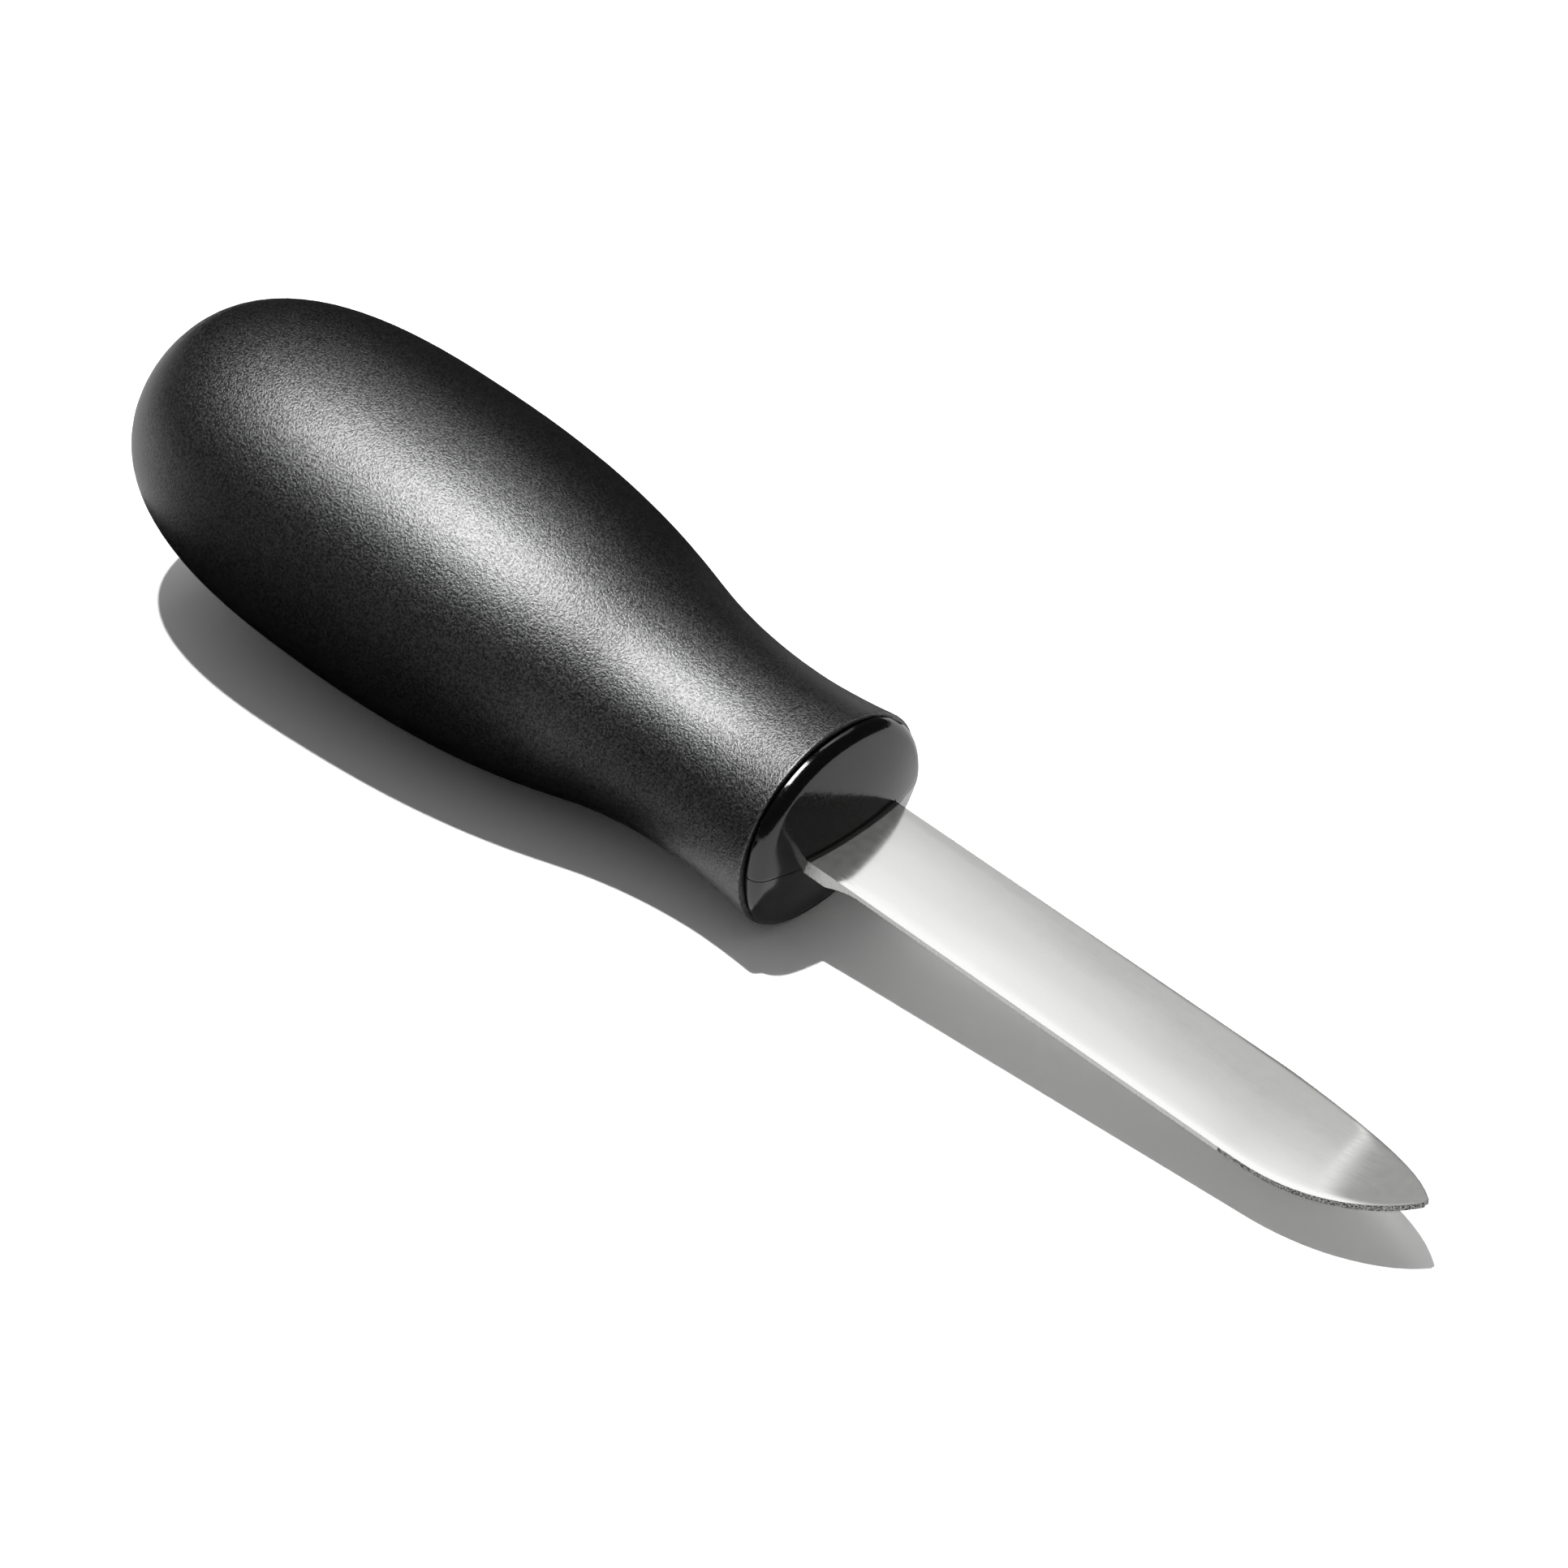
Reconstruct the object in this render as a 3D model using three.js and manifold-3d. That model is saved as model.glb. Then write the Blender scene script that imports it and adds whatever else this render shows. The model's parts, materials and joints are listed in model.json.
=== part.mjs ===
// Oyster knife. A stamped steel blade is held by two dowel pins between the halves of a rigid
// moulded core, and a soft rubber grip is moulded over the core. Millimetres, +Z up, blade to +X.
// Each piece is drawn along the knife's own axis, with x = 0 at the front of the collar and the
// parting plane of the core at z = 0. The whole knife is then laid down as it rests on a table,
// on the bulb of the grip and on the grip's front rim.

import * as THREE from 'three';
import { mergeVertices } from 'three/addons/utils/BufferGeometryUtils.js';
import Module from 'manifold-3d';

const wasm = await Module();
wasm.setup();

// Handle: stations are distances behind the front of the collar, widths are half widths.
const handleLength = 96;
const bulbStation = 60.5;
const bulbHalfWidth = 18.2;
const neckStation = 30.5;
const neckHalfWidth = 14.25;
const neckSlopeShare = -0.3;
const waistStation = 14;
const waistHalfWidth = 12;
const rimStation = 3.6;
const rimHalfWidth = 12.9;
const rimSlopeShare = 0.14;
const buttCurveShares = { along: 2.8, across: 0.375 };

// The section is a flattened round, a little higher above the parting plane than below it. A
// square share of 1 is an ellipse, and a greater one is squarer.
const heightUpShare = 0.955;
const heightDownShare = 0.9;
const rimDownSquareShare = 1.05;

// Walls and clearances.
const gripWall = 3;
const fitGap = 0.3;
const coreWall = 2.4;
const cutOverrun = 2;

// Collar: the front of the core. It steps in from the grip's rim, the draft of its lower half
// leaves a faint ridge along the parting line, and its face slopes back above and below that line:
// the top and the bottom reach forward by shares of what the sides reach.
const collarSideStep = 0.75;
const collarTopStep = 0.7;
const collarBottomStep = 0.6;
const collarSquareShares = { up: 1.1, down: 1.35 };
const collarDraftShares = { up: 0.01, down: 0.09 };
const collarReachShares = { up: 0.8, down: 0.1 };
const collarFillet = 2.1;
const collarFilletSweepShare = 0.9;
const domeRadius = 45;

// Ribs and bosses inside the core.
const frontBlock = 10;
const ribThickness = 2;
const webThickness = 2;
const bossRadius = 4.4;

// Blade and tang.
const bladeLength = 75;
const bladeThickness = 2;
const rootHalfWidth = 6.5;
const bladeHalfWidth = 6.7;
const farTaperStation = 50.5;
const nearTaperStation = 57.5;
const pointCurveShares = { along: 2.15, across: 0.73 };
const pointHalfWidth = 0.3;
const bendStation = 54.5;
const bendRise = 3.1;
const edgeChamfer = 0.22;
const edgeLand = 0.35;
const bevelRun = 3.4;
const bevelSlopeShare = 0.42;
const rootLength = 2.3;
const plungeLength = 4.5;
const tangLength = 56;
const tangHalfWidth = 4.5;
const shoulderStation = 7;
const shoulderLength = 2;

// Dowel pins: each stands at one of the ribs, counted back from the front block. The rear one is
// near the end of the tang, and that sets the pitch of the ribs.
const pinRadius = 1.75;
const pinHalfLength = 6.5;
const pinEndDistance = 8.5;
const pinRibs = { tang_pin_front: 1, tang_pin_rear: 3 };
const ribPitch = (tangLength - pinEndDistance - frontBlock) / pinRibs.tang_pin_rear;

// Fineness of the solids.
const ringSides = 34;
const pinSides = 24;
const capSteps = 9;
const stretchSteps = 5;
const filletSteps = 4;
const domeSteps = 4;
const plungeSteps = 3;
const pointSteps = 12;

const rubber = new THREE.MeshStandardMaterial({ color: 0x1d1d1e, roughness: 0.75, metalness: 0 });
const glossPlastic = new THREE.MeshStandardMaterial({ color: 0x101010, roughness: 0.15, metalness: 0 });
const polishedSteel = new THREE.MeshStandardMaterial({ color: 0xd6d6d4, roughness: 0.2, metalness: 1 });
const pinSteel = new THREE.MeshStandardMaterial({ color: 0xa9aaab, roughness: 0.35, metalness: 1 });

function toSolid(geometry) {
  const bare = geometry.clone();
  bare.deleteAttribute('normal');
  bare.deleteAttribute('uv');
  const merged = mergeVertices(bare);
  return new wasm.Manifold(new wasm.Mesh({
    numProp: 3,
    vertProperties: new Float32Array(merged.attributes.position.array),
    triVerts: new Uint32Array(merged.index.array),
  }));
}

function toGeometry(solid) {
  const mesh = solid.getMesh();
  const geometry = new THREE.BufferGeometry();
  geometry.setAttribute('position', new THREE.BufferAttribute(mesh.vertProperties, 3));
  geometry.setIndex(new THREE.BufferAttribute(mesh.triVerts, 1));
  geometry.computeVertexNormals();
  return geometry;
}

// A solid box between two corners.
function block(low, high) {
  const size = high.clone().sub(low);
  const geometry = new THREE.BoxGeometry(size.x, size.y, size.z);
  geometry.translate(low.x + size.x / 2, low.y + size.y / 2, low.z + size.z / 2);
  return toSolid(geometry);
}

// An upright cylinder through the middle plane at a station.
function post(station, radius, halfHeight) {
  const geometry = new THREE.CylinderGeometry(radius, radius, 2 * halfHeight, pinSides);
  geometry.rotateX(Math.PI / 2);
  geometry.translate(-station, 0, 0);
  return geometry;
}

// A closed skin over rings of points, which run along +X. A ring of one point is a pole.
function loft(rings) {
  const points = [];
  const faces = [];
  const starts = rings.map((ring) => points.push(...ring) - ring.length);
  const at = (i, j) => starts[i] + (rings[i].length === 1 ? 0 : j % rings[i].length);
  for (let i = 0; i < rings.length - 1; i += 1) {
    const sides = Math.max(rings[i].length, rings[i + 1].length);
    for (let j = 0; j < sides; j += 1) {
      if (rings[i].length > 1) faces.push(at(i, j), at(i, j + 1), at(i + 1, j));
      if (rings[i + 1].length > 1) faces.push(at(i, j + 1), at(i + 1, j + 1), at(i + 1, j));
    }
  }
  const close = (i, reversed) => {
    if (rings[i].length === 1) return;
    const middle = new THREE.Vector3();
    rings[i].forEach((point) => middle.addScaledVector(point, 1 / rings[i].length));
    const hub = points.push(middle) - 1;
    for (let j = 0; j < rings[i].length; j += 1) {
      faces.push(hub, ...(reversed ? [at(i, j + 1), at(i, j)] : [at(i, j), at(i, j + 1)]));
    }
  };
  close(0, true);
  close(rings.length - 1, false);
  const geometry = new THREE.BufferGeometry().setFromPoints(points);
  geometry.setIndex(faces);
  return geometry;
}

// The forms of the section above and below the parting plane, at a place along the grip.
function gripSection(x) {
  const towardsRim = THREE.MathUtils.smoothstep(x, -neckStation, -rimStation);
  const downSquareShare = THREE.MathUtils.lerp(1, rimDownSquareShare, towardsRim);
  return {
    up: { heightShare: heightUpShare, squareShare: 1, draftShare: 0 },
    down: { heightShare: heightDownShare, squareShare: downSquareShare, draftShare: 0 },
  };
}

const collarHalfWidth = rimHalfWidth - collarSideStep;
const collarHeight = {
  up: rimHalfWidth * heightUpShare - collarTopStep,
  down: rimHalfWidth * heightDownShare - collarBottomStep,
};

function collarSection() {
  const half = (name) => ({
    heightShare: collarHeight[name] / collarHalfWidth,
    squareShare: collarSquareShares[name],
    draftShare: collarDraftShares[name],
  });
  return { up: half('up'), down: half('down') };
}

// One ring of the handle, as a rounded section of a given half width.
function sectionRing(x, halfWidth, section) {
  if (halfWidth === 0) return [new THREE.Vector3(x, 0, 0)];
  const ring = [];
  for (let i = 0; i < ringSides; i += 1) {
    const turn = (2 * Math.PI * i) / ringSides;
    const side = i < ringSides / 2 ? 1 : -1;
    const { heightShare, squareShare, draftShare } = side > 0 ? section.up : section.down;
    const up = Math.abs(Math.sin(turn)) ** (1 / squareShare);
    const across = Math.sign(Math.cos(turn)) * Math.abs(Math.cos(turn)) ** (1 / squareShare);
    ring.push(new THREE.Vector3(
      x,
      halfWidth * across * (1 - draftShare * up),
      side * halfWidth * heightShare * up,
    ));
  }
  return ring;
}

// A smooth stretch of outline between two places, each with its own slope.
function stretch(from, to) {
  const third = (to.x - from.x) / 3;
  return new THREE.CubicBezierCurve(
    new THREE.Vector2(from.x, from.y),
    new THREE.Vector2(from.x + third, from.y + from.slope * third),
    new THREE.Vector2(to.x - third, to.y - to.slope * third),
    new THREE.Vector2(to.x, to.y),
  ).getPoints(stretchSteps).slice(1);
}

// Half outline of the rubber grip, from the butt to its front rim.
function gripOutline() {
  const outline = [];
  for (let i = 0; i <= capSteps; i += 1) {
    const back = Math.cos((Math.PI / 2) * (i / capSteps));
    const width = i === 0 ? 0 : (1 - back ** buttCurveShares.along) ** buttCurveShares.across;
    outline.push(new THREE.Vector2(
      -bulbStation - (handleLength - bulbStation) * back,
      bulbHalfWidth * width,
    ));
  }
  const bulb = { x: -bulbStation, y: bulbHalfWidth, slope: 0 };
  const neck = { x: -neckStation, y: neckHalfWidth, slope: neckSlopeShare };
  const waist = { x: -waistStation, y: waistHalfWidth, slope: 0 };
  const rim = { x: -rimStation, y: rimHalfWidth, slope: rimSlopeShare };
  return [...outline, ...stretch(bulb, neck), ...stretch(neck, waist), ...stretch(waist, rim)];
}

// The grip's outline moved inwards, square to itself, and ended at a given station.
function insetOutline(outline, wall, endX) {
  const moved = outline.slice(0, -1).map((point, i) => {
    if (i === 0) return new THREE.Vector2(point.x + wall, 0);
    const along = outline[i + 1].clone().sub(outline[i - 1]).normalize();
    return new THREE.Vector2(point.x + along.y * wall, point.y - along.x * wall);
  });
  return [...moved, new THREE.Vector2(endX, outline[outline.length - 1].y - wall)];
}

// The collar's half outline at the parting line: a short wall, a fillet and a shallow dome.
function collarOutline() {
  const domeX = (y) => -(y * y) / (2 * domeRadius);
  const sweep = (Math.PI / 2) * collarFilletSweepShare;
  const filletY = collarHalfWidth - collarFillet;
  const domeEdge = filletY + collarFillet * Math.cos(sweep);
  const filletX = domeX(domeEdge) - collarFillet * Math.sin(sweep);
  const outline = [new THREE.Vector2(fitGap - rimStation, collarHalfWidth)];
  for (let i = 0; i <= filletSteps; i += 1) {
    const turn = (sweep * i) / filletSteps;
    outline.push(new THREE.Vector2(
      filletX + collarFillet * Math.sin(turn),
      filletY + collarFillet * Math.cos(turn),
    ));
  }
  for (let i = domeSteps - 1; i >= 0; i -= 1) {
    const y = (domeEdge * i) / domeSteps;
    outline.push(new THREE.Vector2(domeX(y), y));
  }
  return outline;
}

// The collar's rings. Away from the parting line they slope back towards the seam with the grip.
function collarRings() {
  const seam = fitGap - rimStation;
  return rings(collarOutline(), collarSection).map((ring) => ring.map((point) => {
    const half = point.z > 0 ? 'up' : 'down';
    const rise = Math.abs(point.z) / collarHeight[half];
    const reach = THREE.MathUtils.lerp(1, collarReachShares[half], rise);
    return new THREE.Vector3(seam + (point.x - seam) * reach, point.y, point.z);
  }));
}

const outerOutline = gripOutline();

function rings(outline, sectionAt = gripSection) {
  return outline.map((point) => sectionRing(point.x, point.y, sectionAt(point.x)));
}

function makeGrip() {
  const skin = toSolid(loft(rings(outerOutline)));
  const hollow = toSolid(loft(rings(insetOutline(outerOutline, gripWall, cutOverrun - rimStation))));
  return toGeometry(skin.subtract(hollow));
}

// The rigid core before it is split: the body inside the rubber, and the collar in front of it.
function coreBody() {
  const body = rings(insetOutline(outerOutline, gripWall + fitGap, fitGap - rimStation));
  return toSolid(loft([...body, ...collarRings()]));
}

// The hollows between the core's cross ribs and on both sides of its lengthwise web.
function coreHollows() {
  const reach = bulbHalfWidth;
  const wall = gripWall + fitGap + coreWall;
  let hollows = toSolid(loft(rings(insetOutline(outerOutline, wall, -rimStation))));
  const solidFront = block(
    new THREE.Vector3(-frontBlock, -reach, -reach),
    new THREE.Vector3(cutOverrun, reach, reach),
  );
  const web = block(
    new THREE.Vector3(-handleLength, -webThickness / 2, -reach),
    new THREE.Vector3(0, webThickness / 2, reach),
  );
  hollows = hollows.subtract(solidFront).subtract(web);
  for (let station = frontBlock + ribPitch; station < handleLength; station += ribPitch) {
    hollows = hollows.subtract(block(
      new THREE.Vector3(-station - ribThickness / 2, -reach, -reach),
      new THREE.Vector3(-station + ribThickness / 2, reach, reach),
    ));
  }
  Object.values(pinRibs).forEach((rib) => {
    hollows = hollows.subtract(toSolid(post(frontBlock + rib * ribPitch, bossRadius, reach)));
  });
  return hollows;
}

// The slot that takes the blade's root and its tang.
function tangSlot() {
  const halfHeight = bladeThickness / 2 + fitGap;
  const rootSlot = rootHalfWidth + fitGap;
  const slot = block(
    new THREE.Vector3(-shoulderStation - shoulderLength - fitGap, -rootSlot, -halfHeight),
    new THREE.Vector3(cutOverrun, rootSlot, halfHeight),
  );
  const tangHalf = tangHalfWidth + fitGap;
  return slot.add(block(
    new THREE.Vector3(-tangLength - fitGap, -tangHalf, -halfHeight),
    new THREE.Vector3(-shoulderStation, tangHalf, halfHeight),
  ));
}

function makeCoreHalf(side) {
  const reach = handleLength;
  const face = (side * fitGap) / 2;
  const halfSpace = block(
    new THREE.Vector3(-reach, -reach, Math.min(face, side * reach)),
    new THREE.Vector3(reach, reach, Math.max(face, side * reach)),
  );
  let half = coreBody().intersect(halfSpace).subtract(coreHollows()).subtract(tangSlot());
  Object.values(pinRibs).forEach((rib) => {
    const hole = post(frontBlock + rib * ribPitch, pinRadius + fitGap, pinHalfLength + fitGap);
    half = half.subtract(toSolid(hole));
  });
  return toGeometry(half);
}

// Half width of one edge of the blade at a station in front of the collar.
function edgeHalfWidth(x, taperStation) {
  if (x <= 0) return rootHalfWidth;
  const straight = THREE.MathUtils.lerp(rootHalfWidth, bladeHalfWidth, Math.min(1, x / taperStation));
  const run = Math.max(0, (x - taperStation) / (bladeLength - taperStation));
  const point = (1 - run ** pointCurveShares.along) ** pointCurveShares.across;
  return Math.max(pointHalfWidth, straight * point);
}

// One ring of the blade: flat top, chamfered upper edges, a thin land and a ground underside.
// The grind share goes from 0 at the full-thickness root to 1 along the blade.
function bladeRing(x, farWidth, nearWidth, grindShare) {
  const top = bladeThickness / 2;
  const bottom = -bladeThickness / 2;
  const rise = bendRise * Math.max(0, (x - bendStation) / (bladeLength - bendStation)) ** 2;
  const half = (width) => {
    const landBottom = THREE.MathUtils.lerp(bottom + edgeChamfer, top - edgeChamfer - edgeLand, grindShare);
    const wantedRun = THREE.MathUtils.lerp(edgeChamfer, bevelRun, grindShare);
    const run = Math.min(wantedRun, width - edgeChamfer / 2);
    const slope = THREE.MathUtils.lerp(1, bevelSlopeShare, grindShare);
    const chamfer = Math.min(edgeChamfer, width / 2);
    return [
      [width - run, Math.max(bottom, landBottom - run * slope)],
      [width, landBottom],
      [width, top - chamfer],
      [width - chamfer, top],
    ];
  };
  const far = half(farWidth).map(([y, z]) => new THREE.Vector3(x, y, z + rise));
  const near = half(nearWidth).map(([y, z]) => new THREE.Vector3(x, -y, z + rise)).reverse();
  return [...far, ...near];
}

function makeBlade() {
  const sections = [
    bladeRing(-tangLength, tangHalfWidth, tangHalfWidth, 0),
    bladeRing(-shoulderStation - shoulderLength, tangHalfWidth, tangHalfWidth, 0),
    bladeRing(-shoulderStation, rootHalfWidth, rootHalfWidth, 0),
  ];
  const ringAt = (x, grindShare) => bladeRing(
    x, edgeHalfWidth(x, farTaperStation), edgeHalfWidth(x, nearTaperStation), grindShare,
  );
  for (let i = 0; i <= plungeSteps; i += 1) {
    const share = i / plungeSteps;
    sections.push(ringAt(rootLength + plungeLength * share, Math.sin((share * Math.PI) / 2)));
  }
  for (let i = 0; i <= pointSteps; i += 1) {
    const back = Math.cos((Math.PI / 2) * (i / pointSteps));
    sections.push(ringAt(bladeLength - (bladeLength - farTaperStation) * back, 1));
  }
  let blade = toSolid(loft(sections));
  Object.values(pinRibs).forEach((rib) => {
    const hole = post(frontBlock + rib * ribPitch, pinRadius + fitGap, bladeThickness);
    blade = blade.subtract(toSolid(hole));
  });
  return toGeometry(blade);
}

const knife = new THREE.Group();

function addPiece(name, geometry, material) {
  const piece = new THREE.Mesh(geometry, material);
  piece.name = name;
  knife.add(piece);
}

addPiece('blade', makeBlade(), polishedSteel);
addPiece('core_upper_half', makeCoreHalf(1), glossPlastic);
addPiece('core_lower_half', makeCoreHalf(-1), glossPlastic);
addPiece('grip', makeGrip(), rubber);
Object.entries(pinRibs).forEach(([name, rib]) => {
  addPiece(name, post(frontBlock + rib * ribPitch, pinRadius, pinHalfLength), pinSteel);
});

// The knife tips forward until its rim meets the table, as far as the bulb lets it.
const rimDrop = rimHalfWidth * heightDownShare;
const restSlopes = outerOutline.slice(0, -1).map(
  (point) => (point.y * heightDownShare - rimDrop) / (-rimStation - point.x),
);
knife.rotation.y = Math.atan(Math.max(...restSlopes));

// The origin is under the middle of the knife, on the surface that it lies on.
const part = new THREE.Group();
part.add(knife);
part.updateMatrixWorld(true);
const extent = new THREE.Box3().setFromObject(part, true);
const middle = extent.getCenter(new THREE.Vector3());
knife.position.set(-middle.x, -middle.y, -extent.min.z);

export default part;
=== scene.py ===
"""Oyster knife: soft rubber grip, gloss plastic collar and a satin steel blade, on a white floor."""

import json
import math

import bmesh
import bpy
from mathutils import Matrix, Vector


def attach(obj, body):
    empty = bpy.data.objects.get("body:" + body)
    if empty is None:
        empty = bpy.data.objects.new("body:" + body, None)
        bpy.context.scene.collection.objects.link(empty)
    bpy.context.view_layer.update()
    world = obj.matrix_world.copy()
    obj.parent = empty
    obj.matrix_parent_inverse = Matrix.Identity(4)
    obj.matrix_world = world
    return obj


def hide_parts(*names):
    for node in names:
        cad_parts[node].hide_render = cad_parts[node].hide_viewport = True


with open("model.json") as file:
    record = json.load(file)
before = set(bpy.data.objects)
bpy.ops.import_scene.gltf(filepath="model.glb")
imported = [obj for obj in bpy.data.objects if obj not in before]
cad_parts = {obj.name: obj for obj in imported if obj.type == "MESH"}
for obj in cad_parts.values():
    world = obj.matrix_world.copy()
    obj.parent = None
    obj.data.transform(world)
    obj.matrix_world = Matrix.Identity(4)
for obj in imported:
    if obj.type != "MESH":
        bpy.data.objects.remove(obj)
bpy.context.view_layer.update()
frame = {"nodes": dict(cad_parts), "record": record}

MM = 0.001

# The knife is modelled along its own axis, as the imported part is: x = 0 at the front of the collar,
# z = 0 at the parting line, and then laid down as it rests. Stations run back from the collar.
HANDLE_LENGTH = 96 * MM
BULB_STATION = 60.5 * MM
BULB_HALF_WIDTH = 18.2 * MM
NECK_STATION = 30.5 * MM
NECK_HALF_WIDTH = 14.25 * MM
NECK_SLOPE_SHARE = -0.3
WAIST_STATION = 14 * MM
WAIST_HALF_WIDTH = 12 * MM
RIM_STATION = 3.6 * MM
RIM_HALF_WIDTH = 12.9 * MM
RIM_SLOPE_SHARE = 0.14
BUTT_POWERS = {"along": 2.8, "across": 0.375}
HEIGHT_UP_SHARE = 0.955
HEIGHT_DOWN_SHARE = 0.9
RIM_DOWN_SQUARE_SHARE = 1.05
GRIP_WALL = 3 * MM
RIM_ROUND = 0.12 * MM

# Collar.
SEAM_GAP = 0.12 * MM
COLLAR_SIDE_STEP = 0.75 * MM
COLLAR_HEIGHTS = {
    "up": RIM_HALF_WIDTH * HEIGHT_UP_SHARE - 0.7 * MM,
    "down": RIM_HALF_WIDTH * HEIGHT_DOWN_SHARE - 0.6 * MM,
}
COLLAR_HALF_WIDTH = RIM_HALF_WIDTH - COLLAR_SIDE_STEP
COLLAR_SQUARE_SHARES = {"up": 1.1, "down": 1.35}
COLLAR_DRAFT_SHARES = {"up": 0.01, "down": 0.09}
COLLAR_REACH_SHARES = {"up": 0.8, "down": 0.1}
COLLAR_REACH_POWERS = {"up": 2, "down": 1}
COLLAR_FILLET = 1.8 * MM
COLLAR_FILLET_SWEEP = 0.74 * math.pi / 2
COLLAR_BACK_ROUND = 0.25 * MM
DOME_RADIUS = 42 * MM
DOME_FLARE_RADIUS = 30 * MM
DOME_FRONT = 0.25 * MM
NECK_BACK_STATION = 4.6 * MM
NECK_RADIUS = 8.9 * MM
REAR_CUT_STATION = 3.9 * MM
PARTING_GAP = 0.015 * MM
PARTING_MERGE = 0.04 * MM
PARTING_ROUND = 0.06 * MM
SLOT_GAP = 0.06 * MM

# Blade.
BLADE_LENGTH = 75 * MM
BLADE_THICKNESS = 2 * MM
ROOT_HALF_WIDTH = 6.5 * MM
BLADE_HALF_WIDTH = 6.7 * MM
FAR_TAPER_STATION = 50.5 * MM
NEAR_TAPER_STATION = 57.5 * MM
POINT_POWERS = {"along": 2.15, "across": 0.73}
POINT_HALF_WIDTH = 0.3 * MM
BEND_STATION = 54.5 * MM
BEND_RISE = 3.1 * MM
EDGE_CHAMFER = 0.22 * MM
EDGE_LAND = 0.35 * MM
TIP_LAND = 0.45 * MM
TIP_LAND_STATIONS = (50 * MM, 66 * MM)
CROWN_DROP = 0.12 * MM
EDGE_ROLL_DROP = 0.04 * MM
EDGE_ROLL_WIDTH = 1 * MM
BEVEL_RUN = 3.4 * MM
BEVEL_SLOPE_SHARE = 0.42
ROOT_LENGTH = 2.3 * MM
PLUNGE_LENGTH = 4.5 * MM
TANG_LENGTH = 56 * MM
TANG_HALF_WIDTH = 4.5 * MM
SHOULDER_STATION = 7 * MM
SHOULDER_LENGTH = 2 * MM
PIN_STATIONS = (22.5 * MM, 47.5 * MM)
PIN_HOLE_RADIUS = 1.85 * MM
LOWER_EDGE_ROUND = 0.06 * MM

# Fineness of the meshes.
WELD = 0.001 * MM
RING_SIDES = 64
COLLAR_SIDES = 96
PIN_HOLE_SIDES = 48
SMALL_ROUND_STEPS = 3
PARTING_ROUND_STEPS = 2
BUTT_STEPS = 14
STRETCH_STEPS = 9
FILLET_STEPS = 8
DOME_STEPS = 7
POINT_STEPS = 30
PLUNGE_STEPS = 7
BLADE_COLUMN_SHARES = (0.2, 0.35, 0.62, 0.76, 0.86, 0.91, 0.96)
LENGTHWISE_LEAST = 0.05 * MM

# Edges that turn by more degrees than this stay sharp.
GRIP_SMOOTHING = 50
CORE_SMOOTHING = 35
BLADE_SMOOTHING = 25

# How far up a face of the blade looks: 1 is straight up, 0 is level and -1 is straight down. A rim
# lies between a flat and a side, the top is polished, and sides past the bend stay as sheared.
FLAT_LOOK = 0.8
SIDE_LOOK = 0.3
POLISHED_LOOK = 0.9
SHEARED_LOOK = 0.2

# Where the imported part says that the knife's own frame is: a point on the flat of its blade.
flat = next(mount for mount in frame["record"]["mounts"] if mount["name"] == "blade_flat_top")
FLAT_STATION = 25 * MM
tilt = math.atan2(flat["axis"][0], flat["axis"][2])
lay_down = Matrix.Rotation(tilt, 4, "Y")
knife_origin = Vector(flat["pos_m"]) - lay_down @ Vector((FLAT_STATION, 0, BLADE_THICKNESS / 2))
to_floor = Matrix.Translation(knife_origin) @ lay_down


def mix(low, high, share):
    return low + (high - low) * share


def smooth(value, low, high):
    """Rises gently from 0 to 1 while a value goes from low to high."""
    share = min(1, max(0, (value - low) / (high - low)))
    return share * share * (3 - 2 * share)


# Modelling helpers.
def clear_selection():
    bpy.ops.object.select_all(action="DESELECT")


def focus(piece):
    """Makes a piece the only selected and active object."""
    clear_selection()
    piece.select_set(True)
    bpy.context.view_layer.objects.active = piece


def pick(piece, kind, test):
    """In edit mode, selects only the vertices or edges that pass a test."""
    modes = {"verts": "VERT", "edges": "EDGE"}
    bpy.ops.mesh.select_mode(type=modes[kind])
    bpy.ops.mesh.select_all(action="DESELECT")
    shape = bmesh.from_edit_mesh(piece.data)
    for element in getattr(shape, kind):
        if test(element):
            element.select_set(True)
    shape.select_flush_mode()
    bmesh.update_edit_mesh(piece.data)


def extrude_by(x):
    bpy.ops.mesh.extrude_region_move(TRANSFORM_OT_translate={"value": (x, 0, 0)})


def sweep(name, profile, sides):
    """A closed round skin: a small disc extruded and resized from station to station.

    The profile is a list of (x, radius). It starts and ends with a pole of radius 0."""
    clear_selection()
    bpy.ops.mesh.primitive_circle_add(
        vertices=sides, radius=profile[1][1], fill_type="TRIFAN",
        location=(profile[1][0], 0, 0), rotation=(0, math.pi / 2, 0),
    )
    piece = bpy.context.object
    piece.name = piece.data.name = name
    bpy.ops.object.transform_apply(location=True, rotation=True, scale=True)
    bpy.ops.object.mode_set(mode="EDIT")
    middle = profile[1][1] / 2
    pick(piece, "verts", lambda v: v.co.yz.length < middle)
    bpy.ops.transform.translate(value=(profile[0][0] - profile[1][0], 0, 0))
    pick(piece, "edges", lambda e: e.is_boundary)
    x, radius = profile[1]
    for next_x, next_radius in profile[2:-1]:
        extrude_by(next_x - x)
        share = next_radius / radius
        bpy.ops.transform.resize(value=(1, share, share), center_override=(next_x, 0, 0))
        x, radius = next_x, next_radius
    extrude_by(profile[-1][0] - x)
    bpy.ops.mesh.merge(type="CENTER")
    bpy.ops.mesh.select_all(action="SELECT")
    bpy.ops.mesh.remove_doubles(threshold=WELD)
    bpy.ops.mesh.normals_make_consistent(inside=False)
    bpy.ops.object.mode_set(mode="OBJECT")
    return piece


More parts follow.
